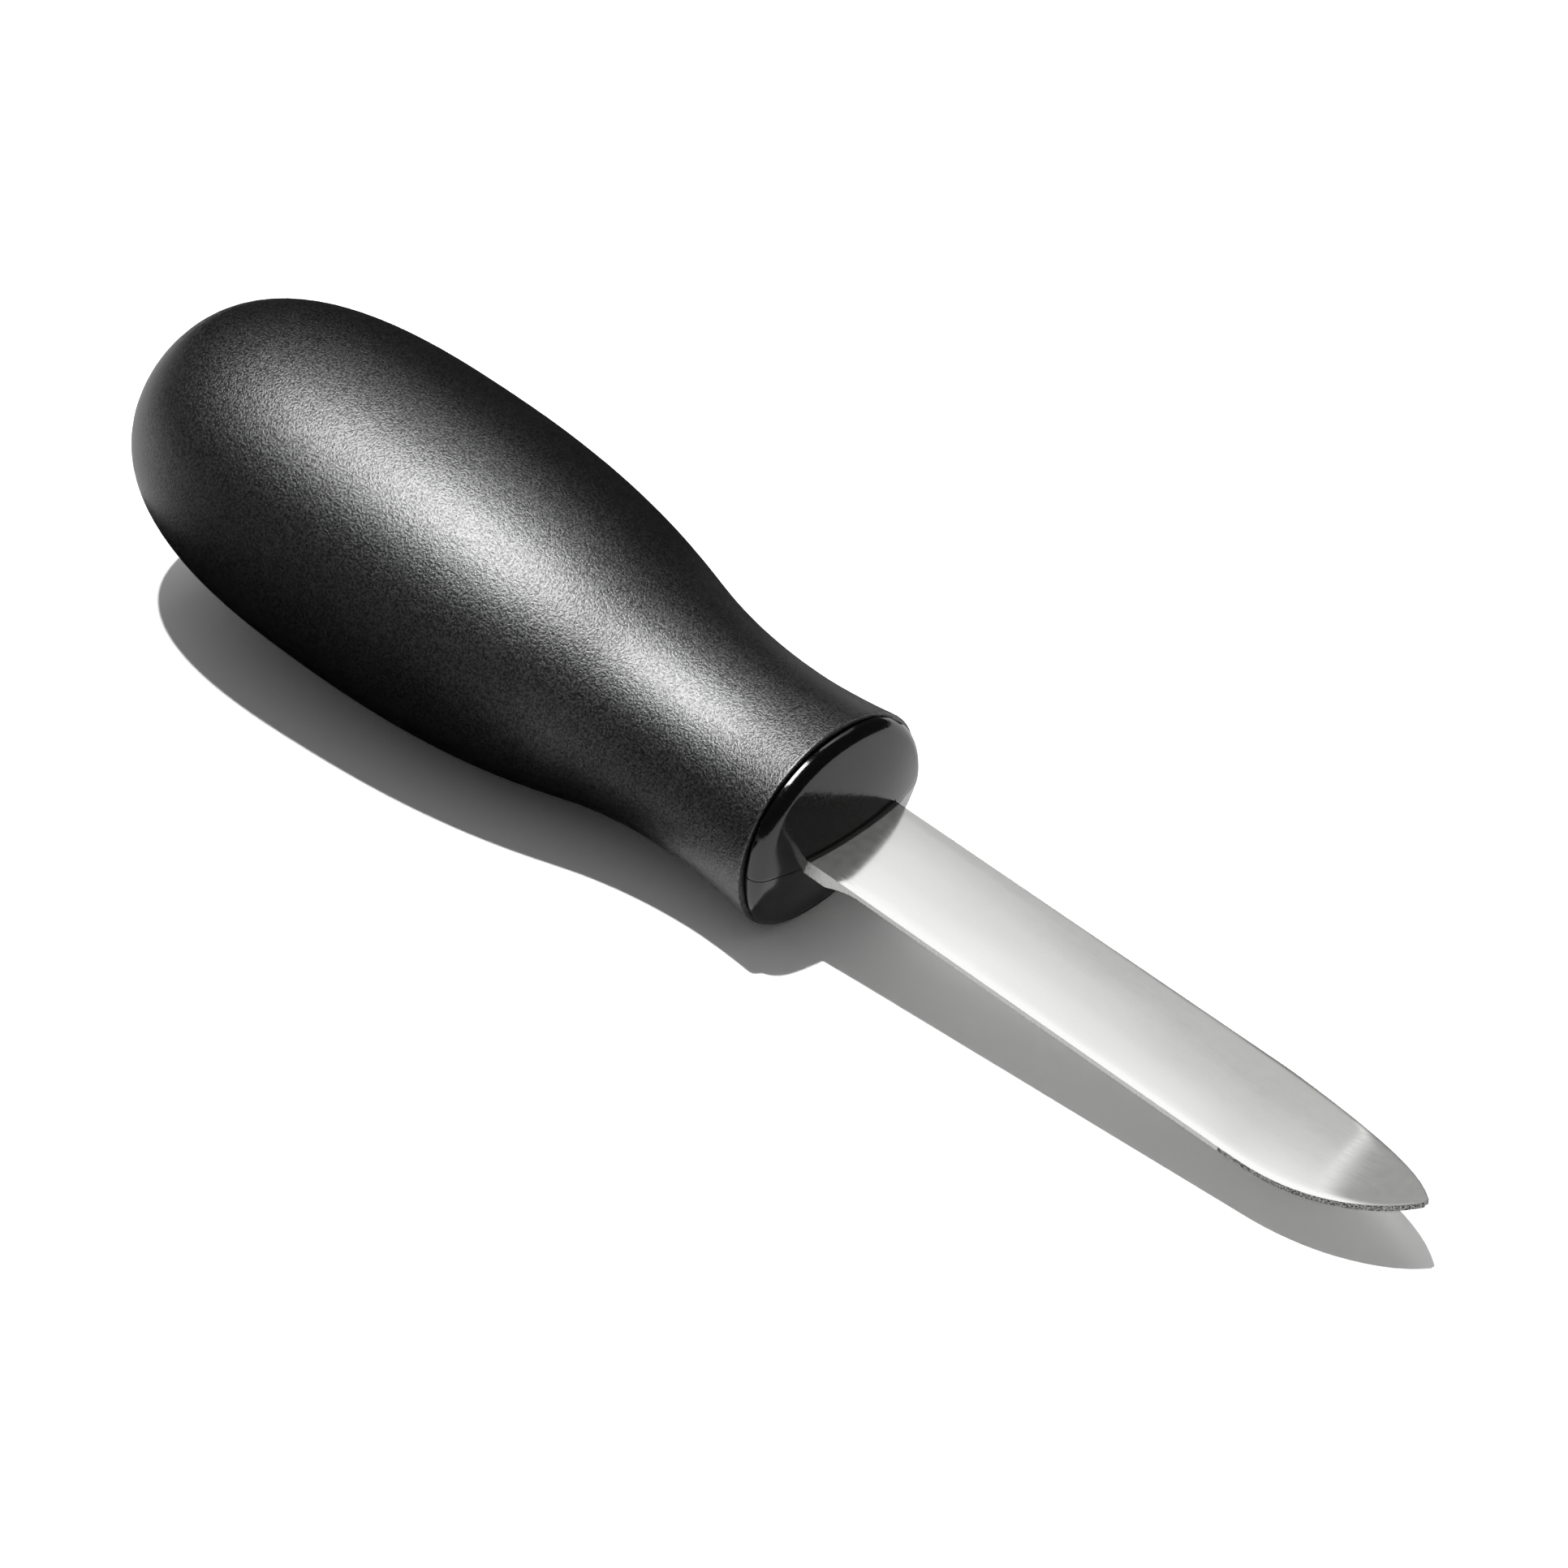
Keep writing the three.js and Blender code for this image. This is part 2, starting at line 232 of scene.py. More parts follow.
def reshape(piece, place_of):
    """Moves each vertex to the place that a formula gives it."""
    for vertex in piece.data.vertices:
        vertex.co = place_of(vertex.co)
    piece.data.update()


def apply_modifier(piece, kind, **settings):
    focus(piece)
    modifier = piece.modifiers.new(kind.title(), kind)
    for name, value in settings.items():
        setattr(modifier, name, value)
    bpy.ops.object.modifier_apply(modifier=modifier.name)


def subdivide_smooth(piece, levels):
    apply_modifier(piece, "SUBSURF", levels=levels, render_levels=levels)


def boolean(piece, other, operation):
    apply_modifier(piece, "BOOLEAN", object=other, operation=operation, solver="EXACT")
    bpy.data.objects.remove(other, do_unlink=True)


def box_cutter(low, high):
    clear_selection()
    centre = [(a + b) / 2 for a, b in zip(low, high)]
    bpy.ops.mesh.primitive_cube_add(size=1, location=centre)
    cutter = bpy.context.object
    cutter.scale = [b - a for a, b in zip(low, high)]
    bpy.ops.object.transform_apply(location=True, rotation=True, scale=True)
    return cutter


def lay_on_floor(piece):
    """Lays a piece down as the knife rests, with its place in its mesh and its origin at 0."""
    focus(piece)
    piece.matrix_world = to_floor
    bpy.ops.object.transform_apply(location=True, rotation=True, scale=True)


def smooth_by_angle(piece, degrees):
    focus(piece)
    bpy.ops.object.shade_smooth_by_angle(angle=math.radians(degrees))


# The outline of the handle.
def stretch(start, end):
    """A smooth stretch of outline between two places (x, half width, slope)."""
    third = (end[0] - start[0]) / 3
    points = (
        Vector(start[:2]),
        Vector((start[0] + third, start[1] + start[2] * third)),
        Vector((end[0] - third, end[1] - end[2] * third)),
        Vector(end[:2]),
    )
    for step in range(1, STRETCH_STEPS + 1):
        t = step / STRETCH_STEPS
        weights = ((1 - t) ** 3, 3 * t * (1 - t) ** 2, 3 * t * t * (1 - t), t ** 3)
        yield tuple(sum((weight * point for weight, point in zip(weights, points)), Vector((0, 0))))


def grip_outline():
    outline = []
    for step in range(BUTT_STEPS + 1):
        back = math.cos(math.pi / 2 * step / BUTT_STEPS)
        width = (1 - back ** BUTT_POWERS["along"]) ** BUTT_POWERS["across"]
        x = -BULB_STATION - (HANDLE_LENGTH - BULB_STATION) * back
        outline.append((x, 0 if step == 0 else BULB_HALF_WIDTH * width))
    bulb = (-BULB_STATION, BULB_HALF_WIDTH, 0)
    neck = (-NECK_STATION, NECK_HALF_WIDTH, NECK_SLOPE_SHARE)
    waist = (-WAIST_STATION, WAIST_HALF_WIDTH, 0)
    rim = (-RIM_STATION, RIM_HALF_WIDTH, RIM_SLOPE_SHARE)
    return [*outline, *stretch(bulb, neck), *stretch(neck, waist), *stretch(waist, rim)]


def inset(outline, wall):
    """The outline moved inwards, square to itself."""
    moved = [(outline[0][0] + wall, 0)]
    for before, here, after in zip(outline, outline[1:], outline[2:]):
        along = (Vector(after) - Vector(before)).normalized()
        moved.append((here[0] + along.y * wall, here[1] - along.x * wall))
    return [*moved, (outline[-1][0], outline[-1][1] - wall)]


def arc(centre, radius, start, end, steps):
    """Points of a profile round a centre (x, radius), between two turns from +x."""
    for step in range(steps + 1):
        turn = mix(start, end, step / steps)
        yield (centre[0] + radius * math.cos(turn), centre[1] + radius * math.sin(turn))


def make_grip():
    outer = grip_outline()
    inner = inset(outer, GRIP_WALL)
    rim_turn = (-RIM_STATION - RIM_ROUND, RIM_HALF_WIDTH - RIM_ROUND)
    rim = list(arc(rim_turn, RIM_ROUND, math.pi / 2, 0, SMALL_ROUND_STEPS))
    lip = (-RIM_STATION, inner[-1][1])
    profile = [*[p for p in outer if p[0] < rim_turn[0] - RIM_ROUND], *rim, lip, *reversed(inner[:-1])]
    piece = sweep("soft_grip", profile, RING_SIDES)

    def place_of(point):
        up = point.z > 0
        radius = point.yz.length
        if radius == 0:
            return point
        square = 1 if up else mix(1, RIM_DOWN_SQUARE_SHARE, smooth(point.x, -NECK_STATION, -RIM_STATION))
        across = (abs(point.y) / radius) ** (1 / square)
        height = (abs(point.z) / radius) ** (1 / square)
        share = HEIGHT_UP_SHARE if up else -HEIGHT_DOWN_SHARE
        return Vector((point.x, math.copysign(radius * across, point.y), radius * height * share))

    reshape(piece, place_of)
    subdivide_smooth(piece, 1)
    return piece


# The collar, and the core halves behind it.
def dome_x(radius):
    """The dome is flat in its middle and rolls away faster near its edge."""
    return DOME_FRONT - radius ** 2 / (2 * DOME_RADIUS) - radius ** 4 / (2 * DOME_FLARE_RADIUS ** 3)


def collar_profile():
    seam = SEAM_GAP - RIM_STATION
    back = arc(
        (seam + COLLAR_BACK_ROUND, COLLAR_HALF_WIDTH - COLLAR_BACK_ROUND),
        COLLAR_BACK_ROUND, math.pi, math.pi / 2, SMALL_ROUND_STEPS,
    )
    fillet_y = COLLAR_HALF_WIDTH - COLLAR_FILLET
    dome_edge = fillet_y + COLLAR_FILLET * math.cos(COLLAR_FILLET_SWEEP)
    fillet_x = dome_x(dome_edge) - COLLAR_FILLET * math.sin(COLLAR_FILLET_SWEEP)
    fillet = arc(
        (fillet_x, fillet_y), COLLAR_FILLET,
        math.pi / 2, math.pi / 2 - COLLAR_FILLET_SWEEP, FILLET_STEPS,
    )
    dome = []
    for step in range(DOME_STEPS - 1, -1, -1):
        radius = dome_edge * step / DOME_STEPS
        dome.append((dome_x(radius), radius))
    neck = [(-NECK_BACK_STATION, 0), (-NECK_BACK_STATION, NECK_RADIUS), (seam, NECK_RADIUS)]
    return [*neck, *back, *fillet, *dome]


def collar_place(point):
    """The collar is squarer than round, has draft below, and slopes back from the parting line."""
    seam = SEAM_GAP - RIM_STATION
    half = "up" if point.z > 0 else "down"
    radius = point.yz.length
    if radius == 0:
        return point
    power = 1 / COLLAR_SQUARE_SHARES[half]
    across = (abs(point.y) / radius) ** power
    height = (abs(point.z) / radius) ** power
    z = radius * height * COLLAR_HEIGHTS[half] / COLLAR_HALF_WIDTH
    y = radius * across * (1 - COLLAR_DRAFT_SHARES[half] * height)
    reach = mix(1, COLLAR_REACH_SHARES[half], (z / COLLAR_HEIGHTS[half]) ** COLLAR_REACH_POWERS[half])
    x = seam + (point.x - seam) * reach if point.x > seam else point.x
    return Vector((x, math.copysign(y, point.y), z if half == "up" else -z))


def make_core_half(name, node_name, side):
    """One half of the core: a modelled half collar, joined to the half core inside the grip."""
    piece = sweep(name, collar_profile(), COLLAR_SIDES)
    reshape(piece, collar_place)
    subdivide_smooth(piece, 1)
    parting = PARTING_GAP * side
    far = HANDLE_LENGTH
    half_space = box_cutter((-far, -far, min(parting, far * side)), (far, far, max(parting, far * side)))
    boolean(piece, half_space, "INTERSECT")
    slot_height = BLADE_THICKNESS / 2 + SLOT_GAP
    slot_width = ROOT_HALF_WIDTH + SLOT_GAP
    slot = box_cutter((-far, -slot_width, -slot_height), (far, slot_width, slot_height))
    boolean(piece, slot, "DIFFERENCE")

    # The cuts leave slivers at the parting plane. They are merged, and its edges then rounded.
    focus(piece)
    bpy.ops.object.mode_set(mode="EDIT")
    bpy.ops.mesh.select_all(action="SELECT")
    bpy.ops.mesh.remove_doubles(threshold=PARTING_MERGE)
    bpy.ops.object.mode_set(mode="OBJECT")
    reshape(piece, lambda p: Vector((p.x, p.y, parting)) if abs(p.z - parting) < PARTING_MERGE else p)
    bpy.ops.object.mode_set(mode="EDIT")
    pick(piece, "edges", lambda e: all(abs(v.co.z - parting) < WELD for v in e.verts))
    bpy.ops.mesh.bevel(offset=PARTING_ROUND, segments=PARTING_ROUND_STEPS)
    bpy.ops.object.mode_set(mode="OBJECT")
    lay_on_floor(piece)

    # The rest of the half, with its ribs and pockets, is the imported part's own.
    rear = bpy.data.objects.new(name + "_rear", frame["nodes"][node_name].data.copy())
    bpy.context.collection.objects.link(rear)
    focus(rear)
    bpy.ops.object.mode_set(mode="EDIT")
    bpy.ops.mesh.select_all(action="SELECT")
    bpy.ops.mesh.remove_doubles(threshold=WELD)
    bpy.ops.mesh.bisect(
        plane_co=to_floor @ Vector((-REAR_CUT_STATION, 0, 0)),
        plane_no=lay_down.to_3x3() @ Vector((1, 0, 0)), use_fill=True, clear_outer=True,
    )
    bpy.ops.object.mode_set(mode="OBJECT")
    boolean(piece, rear, "UNION")
    smooth_by_angle(piece, CORE_SMOOTHING)
    return piece


# The blade.
def edge_half_width(x, taper_station):
    if x <= 0:
        return ROOT_HALF_WIDTH
    straight = mix(ROOT_HALF_WIDTH, BLADE_HALF_WIDTH, min(1, x / taper_station))
    run = max(0, (x - taper_station) / (BLADE_LENGTH - taper_station))
    point = (1 - min(1, run) ** POINT_POWERS["along"]) ** POINT_POWERS["across"]
    return max(POINT_HALF_WIDTH, straight * point)


def blade_stations():
    plunge = [ROOT_LENGTH + PLUNGE_LENGTH * step / PLUNGE_STEPS for step in range(PLUNGE_STEPS + 1)]
    taper_length = BLADE_LENGTH - FAR_TAPER_STATION
    point = [
        BLADE_LENGTH - taper_length * math.cos(math.pi / 2 * step / POINT_STEPS)
        for step in range(POINT_STEPS)
    ]
    return [-SHOULDER_STATION - SHOULDER_LENGTH, -SHOULDER_STATION, *plunge, *point]


def blade_place(point):
    """Where a point of the cut blank goes: outline, ground edges, crown, rolled edges and bend."""
    x = point.x
    top = BLADE_THICKNESS / 2
    blank_inner = ROOT_HALF_WIDTH - BEVEL_RUN
    if x < -SHOULDER_STATION - SHOULDER_LENGTH / 2:
        return Vector((x, point.y * TANG_HALF_WIDTH / ROOT_HALF_WIDTH, point.z))
    width = edge_half_width(x, FAR_TAPER_STATION if point.y > 0 else NEAR_TAPER_STATION)
    run = min(BEVEL_RUN, width - EDGE_CHAMFER / 2)
    outward = max(0, (abs(point.y) - blank_inner) / BEVEL_RUN)
    inward = min(1, abs(point.y) / blank_inner)
    y = (width - run) * inward + run * outward
    if point.z > 0:
        roll = max(0, 1 - (width - y) / min(width, EDGE_ROLL_WIDTH))
        z = top - CROWN_DROP * (y / BLADE_HALF_WIDTH) ** 2 - EDGE_ROLL_DROP * roll ** 2
    else:
        grind = math.sin(math.pi / 2 * min(1, max(0, (x - ROOT_LENGTH) / PLUNGE_LENGTH)))
        land = mix(EDGE_LAND, TIP_LAND, smooth(x, *TIP_LAND_STATIONS))
        edge_height = BLADE_THICKNESS - EDGE_CHAMFER - land - CROWN_DROP - EDGE_ROLL_DROP
        inner_height = (BEVEL_RUN - run) * BEVEL_SLOPE_SHARE
        z = grind * mix(inner_height, edge_height, outward) - top
    rise = BEND_RISE * max(0, (x - BEND_STATION) / (BLADE_LENGTH - BEND_STATION)) ** 2
    return Vector((x, math.copysign(y, point.y), z + rise))


def is_long_edge(edge, side):
    """Whether an edge runs along the rim of the blade's top (side 1) or underside (side -1)."""
    first, second = edge.verts
    lengthwise = abs(first.co.x - second.co.x) > LENGTHWISE_LEAST
    at_point = first.co.x > BLADE_LENGTH - WELD
    looks = [face.normal.normalized().z for face in edge.link_faces]
    if len(looks) != 2 or not (lengthwise or at_point):
        return False
    return abs(min(looks, key=abs)) < SIDE_LOOK and max(looks, key=abs) * side > FLAT_LOOK


def make_blade():
    top = BLADE_THICKNESS / 2
    piece = box_cutter((-TANG_LENGTH, -ROOT_HALF_WIDTH, -top), (BLADE_LENGTH, ROOT_HALF_WIDTH, top))
    piece.name = piece.data.name = "knife_blade"
    focus(piece)
    bpy.ops.object.mode_set(mode="EDIT")
    columns = [ROOT_HALF_WIDTH - BEVEL_RUN, *[ROOT_HALF_WIDTH * share for share in BLADE_COLUMN_SHARES]]
    cuts = [((x, 0, 0), (1, 0, 0)) for x in blade_stations()]
    cuts += [((0, y * side, 0), (0, 1, 0)) for y in columns for side in (1, -1)]
    for place, normal in cuts:
        bpy.ops.mesh.select_all(action="SELECT")
        bpy.ops.mesh.bisect(plane_co=place, plane_no=normal)
    bpy.ops.object.mode_set(mode="OBJECT")
    reshape(piece, blade_place)
    bpy.ops.object.mode_set(mode="EDIT")

    # The chamfers along the upper edges, and the small rounding along the lower ones.
    for side, width in ((1, EDGE_CHAMFER), (-1, LOWER_EDGE_ROUND)):
        pick(piece, "edges", lambda e: is_long_edge(e, side))
        bpy.ops.mesh.bevel(offset=width, segments=1, clamp_overlap=True)
    bpy.ops.mesh.select_all(action="SELECT")
    bpy.ops.mesh.remove_doubles(threshold=WELD)
    bpy.ops.mesh.normals_make_consistent(inside=False)
    bpy.ops.object.mode_set(mode="OBJECT")
    for station in PIN_STATIONS:
        clear_selection()
        bpy.ops.mesh.primitive_cylinder_add(
            vertices=PIN_HOLE_SIDES, radius=PIN_HOLE_RADIUS, depth=3 * BLADE_THICKNESS,
            location=(-station, 0, 0),
        )
        hole = bpy.context.object
        bpy.ops.object.transform_apply(location=True, rotation=True, scale=True)
        boolean(piece, hole, "DIFFERENCE")
    lay_on_floor(piece)
    smooth_by_angle(piece, BLADE_SMOOTHING)
    return piece


# Materials.
CARD_EXPOSURE = 1.7

# The colour sockets of a Mix node.
COLOUR_A = 6
COLOUR_B = 7
COLOUR_RESULT = 2

# The blade's materials, in the order of its slots.
POLISHED, GROUND, SHEARED = range(3)


def colour(hex_code):
    """A linear colour from its sRGB hex value."""
    channels = [int(hex_code[i:i + 2], 16) / 255 for i in (1, 3, 5)]
    linear = [c / 12.92 if c <= 0.04045 else ((c + 0.055) / 1.055) ** 2.4 for c in channels]
    return (*linear, 1)


def node(tree, kind, inputs=None, links=None, **settings):
    made = tree.nodes.new(kind)
    for name, value in settings.items():
        setattr(made, name, value)
    for name, value in (inputs or {}).items():
        made.inputs[name].default_value = value
    for name, socket in (links or {}).items():
        tree.links.new(socket, made.inputs[name])
    return made


def new_material(name):
    """An empty material, its node tree, and Object coordinates."""
    material = bpy.data.materials.new(name)
    material.use_nodes = True
    tree = material.node_tree
    tree.nodes.clear()
    place = node(tree, "ShaderNodeTexCoord").outputs["Object"]
    return material, tree, place


def soft_rubber():
    # Thermoplastic rubber, moulded over the core in a spark-textured mould: each grain mirrors the
    # softbox its own way and each pit dims it, which makes a broad satin glow full of specks. The
    # real grain is about 0.15 mm, and is drawn at 0.25 mm so that it shows. Its sheen is stronger
    # than a bare rubber's, as an over-exposed picture shows it.
    material, tree, place = new_material("soft_rubber_moulded_grain")
    grain = node(tree, "ShaderNodeTexNoise", {"Scale": 1 / (0.25 * MM), "Detail": 2.0, "Roughness": 0.7},
                 {"Vector": place})
    cloud = node(tree, "ShaderNodeTexNoise", {"Scale": 1 / (9 * MM), "Detail": 3.0}, {"Vector": place})
    tone = node(tree, "ShaderNodeValToRGB", links={"Fac": cloud.outputs["Fac"]})
    tone.color_ramp.elements[0].color = colour("#0c0c0d")
    tone.color_ramp.elements[1].color = colour("#161616")
    sheen = node(tree, "ShaderNodeMapRange",
                 {"From Min": 0.38, "From Max": 0.62, "To Min": 0.4, "To Max": 1.25},
                 {"Value": grain.outputs["Fac"]})
    rough = node(tree, "ShaderNodeMapRange",
                 {"From Min": 0.3, "From Max": 0.7, "To Min": 0.28, "To Max": 0.46},
                 {"Value": grain.outputs["Fac"]})
    bump = node(tree, "ShaderNodeBump", {"Strength": 1.0, "Distance": 0.06 * MM},
                {"Height": grain.outputs["Fac"]})
    surface = node(tree, "ShaderNodeBsdfPrincipled", {"IOR": 1.7},
                   {"Base Color": tone.outputs["Color"], "Roughness": rough.outputs["Result"],
                    "Specular IOR Level": sheen.outputs["Result"], "Normal": bump.outputs["Normal"]})
    node(tree, "ShaderNodeOutputMaterial", links={"Surface": surface.outputs["BSDF"]})
    return material


def gloss_plastic():
    # Black ABS, moulded in a polished mould: deep gloss, with the faint orange peel and fine specks
    # that break up a bright reflection. Its sheen is raised as the rubber's is.
    material, tree, place = new_material("black_abs_polished_moulding")
    peel = node(tree, "ShaderNodeTexNoise", {"Scale": 1 / (0.9 * MM), "Detail": 1.0}, {"Vector": place})
    specks = node(tree, "ShaderNodeTexNoise", {"Scale": 1 / (0.25 * MM), "Detail": 1.0}, {"Vector": place})
    tone = node(tree, "ShaderNodeValToRGB", links={"Fac": peel.outputs["Fac"]})
    tone.color_ramp.elements[0].color = colour("#060606")
    tone.color_ramp.elements[1].color = colour("#0b0b0b")
    rough = node(tree, "ShaderNodeMapRange",
                 {"From Min": 0.35, "From Max": 0.7, "To Min": 0.09, "To Max": 0.18},
                 {"Value": specks.outputs["Fac"]})
    bump = node(tree, "ShaderNodeBump", {"Strength": 1.0, "Distance": 0.012 * MM},
                {"Height": peel.outputs["Fac"]})
    surface = node(tree, "ShaderNodeBsdfPrincipled", {"IOR": 1.5, "Specular IOR Level": 0.85},
                   {"Base Color": tone.outputs["Color"], "Roughness": rough.outputs["Result"],
                    "Normal": bump.outputs["Normal"]})
    node(tree, "ShaderNodeOutputMaterial", links={"Surface": surface.outputs["BSDF"]})
    return material


def satin_steel():
    # Stainless cutlery steel, rolled and buffed nearly to a mirror: its slight waves bend what it
    # mirrors, buffing haze lifts its darks in clouds, and fine brushing runs along the blade. The
    # real brushing is finer than 0.1 mm, and is drawn at 0.3 mm so that it shows.
    material, tree, place = new_material("stainless_steel_satin_polish")
    lengthwise = node(tree, "ShaderNodeMapping", {"Scale": (0.04, 1, 1)}, {"Vector": place})
    brushing = node(tree, "ShaderNodeTexNoise", {"Scale": 1 / (0.3 * MM), "Detail": 3.0},
                    {"Vector": lengthwise.outputs["Vector"]})
    cloud = node(tree, "ShaderNodeTexNoise", {"Scale": 1 / (1.1 * MM), "Detail": 4.0, "Roughness": 0.6},
                 {"Vector": place})
    tone = node(tree, "ShaderNodeValToRGB", links={"Fac": cloud.outputs["Fac"]})
    tone.color_ramp.elements[0].color = colour("#d6d6d4")
    tone.color_ramp.elements[1].color = colour("#dededc")
    haze = node(tree, "ShaderNodeMapRange",
                {"From Min": 0.3, "From Max": 0.7, "To Min": 0.83, "To Max": 0.76},
                {"Value": cloud.outputs["Fac"]})
    satin = node(tree, "ShaderNodeMapRange",
                 {"From Min": 0.3, "From Max": 0.7, "To Min": 0.08, "To Max": 0.12},
                 {"Value": brushing.outputs["Fac"]})
    wave = node(tree, "ShaderNodeTexNoise", {"Scale": 1 / (9 * MM), "Detail": 0.0}, {"Vector": place})
    waviness = node(tree, "ShaderNodeBump", {"Strength": 1.0, "Distance": 0.05 * MM},
                    {"Height": wave.outputs["Fac"]})
    bump = node(tree, "ShaderNodeBump", {"Strength": 0.15, "Distance": 0.003 * MM},
                {"Height": brushing.outputs["Fac"], "Normal": waviness.outputs["Normal"]})
    surface = node(tree, "ShaderNodeBsdfPrincipled", links={
        "Base Color": tone.outputs["Color"], "Metallic": haze.outputs["Result"],
        "Roughness": satin.outputs["Result"], "Normal": bump.outputs["Normal"]})
    node(tree, "ShaderNodeOutputMaterial", links={"Surface": surface.outputs["BSDF"]})
    return material


def ground_steel():
    # The same steel where a belt ground the edges: streaks across the edge, as wide as its grit.
    material, tree, place = new_material("stainless_steel_belt_ground")
    crosswise = node(tree, "ShaderNodeMapping", {"Scale": (1, 0.05, 0.2)}, {"Vector": place})
    streaks = node(tree, "ShaderNodeTexNoise", {"Scale": 1 / (0.15 * MM), "Detail": 3.0},
                   {"Vector": crosswise.outputs["Vector"]})
    tone = node(tree, "ShaderNodeValToRGB", links={"Fac": streaks.outputs["Fac"]})
    tone.color_ramp.elements[0].color = colour("#b4b4b2")
    tone.color_ramp.elements[1].color = colour("#dededc")
    rough = node(tree, "ShaderNodeMapRange",
                 {"From Min": 0.3, "From Max": 0.7, "To Min": 0.22, "To Max": 0.42},
                 {"Value": streaks.outputs["Fac"]})
    bump = node(tree, "ShaderNodeBump", {"Strength": 0.25, "Distance": 0.02 * MM},
                {"Height": streaks.outputs["Fac"]})
    surface = node(tree, "ShaderNodeBsdfPrincipled", {"Metallic": 1.0},
                   {"Base Color": tone.outputs["Color"], "Roughness": rough.outputs["Result"],
                    "Normal": bump.outputs["Normal"]})
    node(tree, "ShaderNodeOutputMaterial", links={"Surface": surface.outputs["BSDF"]})
    return material


def sheared_steel_painted_shade():
    # The blank's sheared side, left between the polished top and the ground bevel: torn, with bright specks
    # where it is burnished. Its tone is darker than rough steel's: the dark is painted shade, standing in
    # for the shade that this side mirrors.
    material, tree, place = new_material("stainless_steel_sheared_side")
    tears = node(tree, "ShaderNodeTexNoise", {"Scale": 1 / (0.17 * MM), "Detail": 2.0, "Roughness": 0.7},
                 {"Vector": place})
    tone = node(tree, "ShaderNodeValToRGB", links={"Fac": tears.outputs["Fac"]})
    tone.color_ramp.elements[0].position = 0.42
    tone.color_ramp.elements[1].position = 0.7
    # Painted shade: the dark end of the tone stands in for the shade that the sheared side mirrors.
    tone.color_ramp.elements[0].color = colour("#3a3a38")
    tone.color_ramp.elements[1].color = colour("#d4d4d2")
    bump = node(tree, "ShaderNodeBump", {"Strength": 0.6, "Distance": 0.05 * MM},
                {"Height": tears.outputs["Fac"]})
    surface = node(tree, "ShaderNodeBsdfPrincipled", {"Metallic": 1.0, "Roughness": 0.42},
                   {"Base Color": tone.outputs["Color"], "Normal": bump.outputs["Normal"]})
    node(tree, "ShaderNodeOutputMaterial", links={"Surface": surface.outputs["BSDF"]})
    return material


def drawn_steel():
    # Drawn dowel bar: plain grey steel, faintly mottled by the drawing die.
    material, tree, place = new_material("dowel_steel_drawn_bar")
    grain = node(tree, "ShaderNodeTexNoise", {"Scale": 1 / (0.4 * MM), "Detail": 2.0}, {"Vector": place})
    rough = node(tree, "ShaderNodeMapRange", {"To Min": 0.3, "To Max": 0.42},
                 {"Value": grain.outputs["Fac"]})
    tone = node(tree, "ShaderNodeValToRGB", links={"Fac": grain.outputs["Fac"]})
    tone.color_ramp.elements[0].color = colour("#a2a3a5")
    tone.color_ramp.elements[1].color = colour("#b4b5b6")
    surface = node(tree, "ShaderNodeBsdfPrincipled", {"Metallic": 1.0},
                   {"Base Color": tone.outputs["Color"], "Roughness": rough.outputs["Result"]})
    node(tree, "ShaderNodeOutputMaterial", links={"Surface": surface.outputs["BSDF"]})
    return material


def white_card():
    # Matt white card. The camera sees it over-exposed, as a product photograph does, so that it is
    # pure white up to the edge of the shadow. Reflections and bounced light see its own white.
    material, tree, _ = new_material("white_card")
    seen = node(tree, "ShaderNodeLightPath")
    exposed = node(tree, "ShaderNodeMix", links={"Factor": seen.outputs["Is Camera Ray"]}, data_type="RGBA")
    exposed.inputs[COLOUR_A].default_value = (1, 1, 1, 1)
    exposed.inputs[COLOUR_B].default_value = (CARD_EXPOSURE, CARD_EXPOSURE, CARD_EXPOSURE, 1)
    surface = node(tree, "ShaderNodeBsdfDiffuse", links={"Color": exposed.outputs[COLOUR_RESULT]})
    node(tree, "ShaderNodeOutputMaterial", links={"Surface": surface.outputs["BSDF"]})
    return material


def backdrop_cloth():
    # White cloth lit evenly from behind: it glows, and is just white.
    material, tree, _ = new_material("white_backdrop_cloth")
    surface = node(tree, "ShaderNodeEmission", {"Color": (1, 1, 1, 1), "Strength": 1.0})
    node(tree, "ShaderNodeOutputMaterial", links={"Surface": surface.outputs["Emission"]})
    return material


def painted_shade_velvet_material():
    # Velvet on card, which swallows nearly all light. It is painted shade: only reflections see it.
    material, tree, _ = new_material("black_card")
    surface = node(tree, "ShaderNodeBsdfDiffuse", {"Color": colour("#050505")})
    node(tree, "ShaderNodeOutputMaterial", links={"Surface": surface.outputs["BSDF"]})
    return material


# The pieces, each in its material and in place of its plain solid.
def dress(piece, node_name, slot, *materials):
    piece.data.materials.clear()
    for material in materials:
        piece.data.materials.append(material)
    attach(piece, "root")
    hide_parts(node_name)


def finish_blade_faces(piece):
    """The top is polished and the rest ground, except for the sides past the bend."""
    flat_normal = lay_down.to_3x3() @ Vector((0, 0, 1))
    to_knife = to_floor.inverted()
    for face in piece.data.polygons:
        look = face.normal.dot(flat_normal)
        if look > POLISHED_LOOK:
            face.material_index = POLISHED
        elif abs(look) < SHEARED_LOOK and (to_knife @ face.center).x > BEND_STATION:
            face.material_index = SHEARED
        else:
            face.material_index = GROUND


grip = make_grip()
lay_on_floor(grip)
smooth_by_angle(grip, GRIP_SMOOTHING)
upper_half = make_core_half("collar_upper_half", "core_upper_half", 1)
lower_half = make_core_half("collar_lower_half", "core_lower_half", -1)
blade = make_blade()

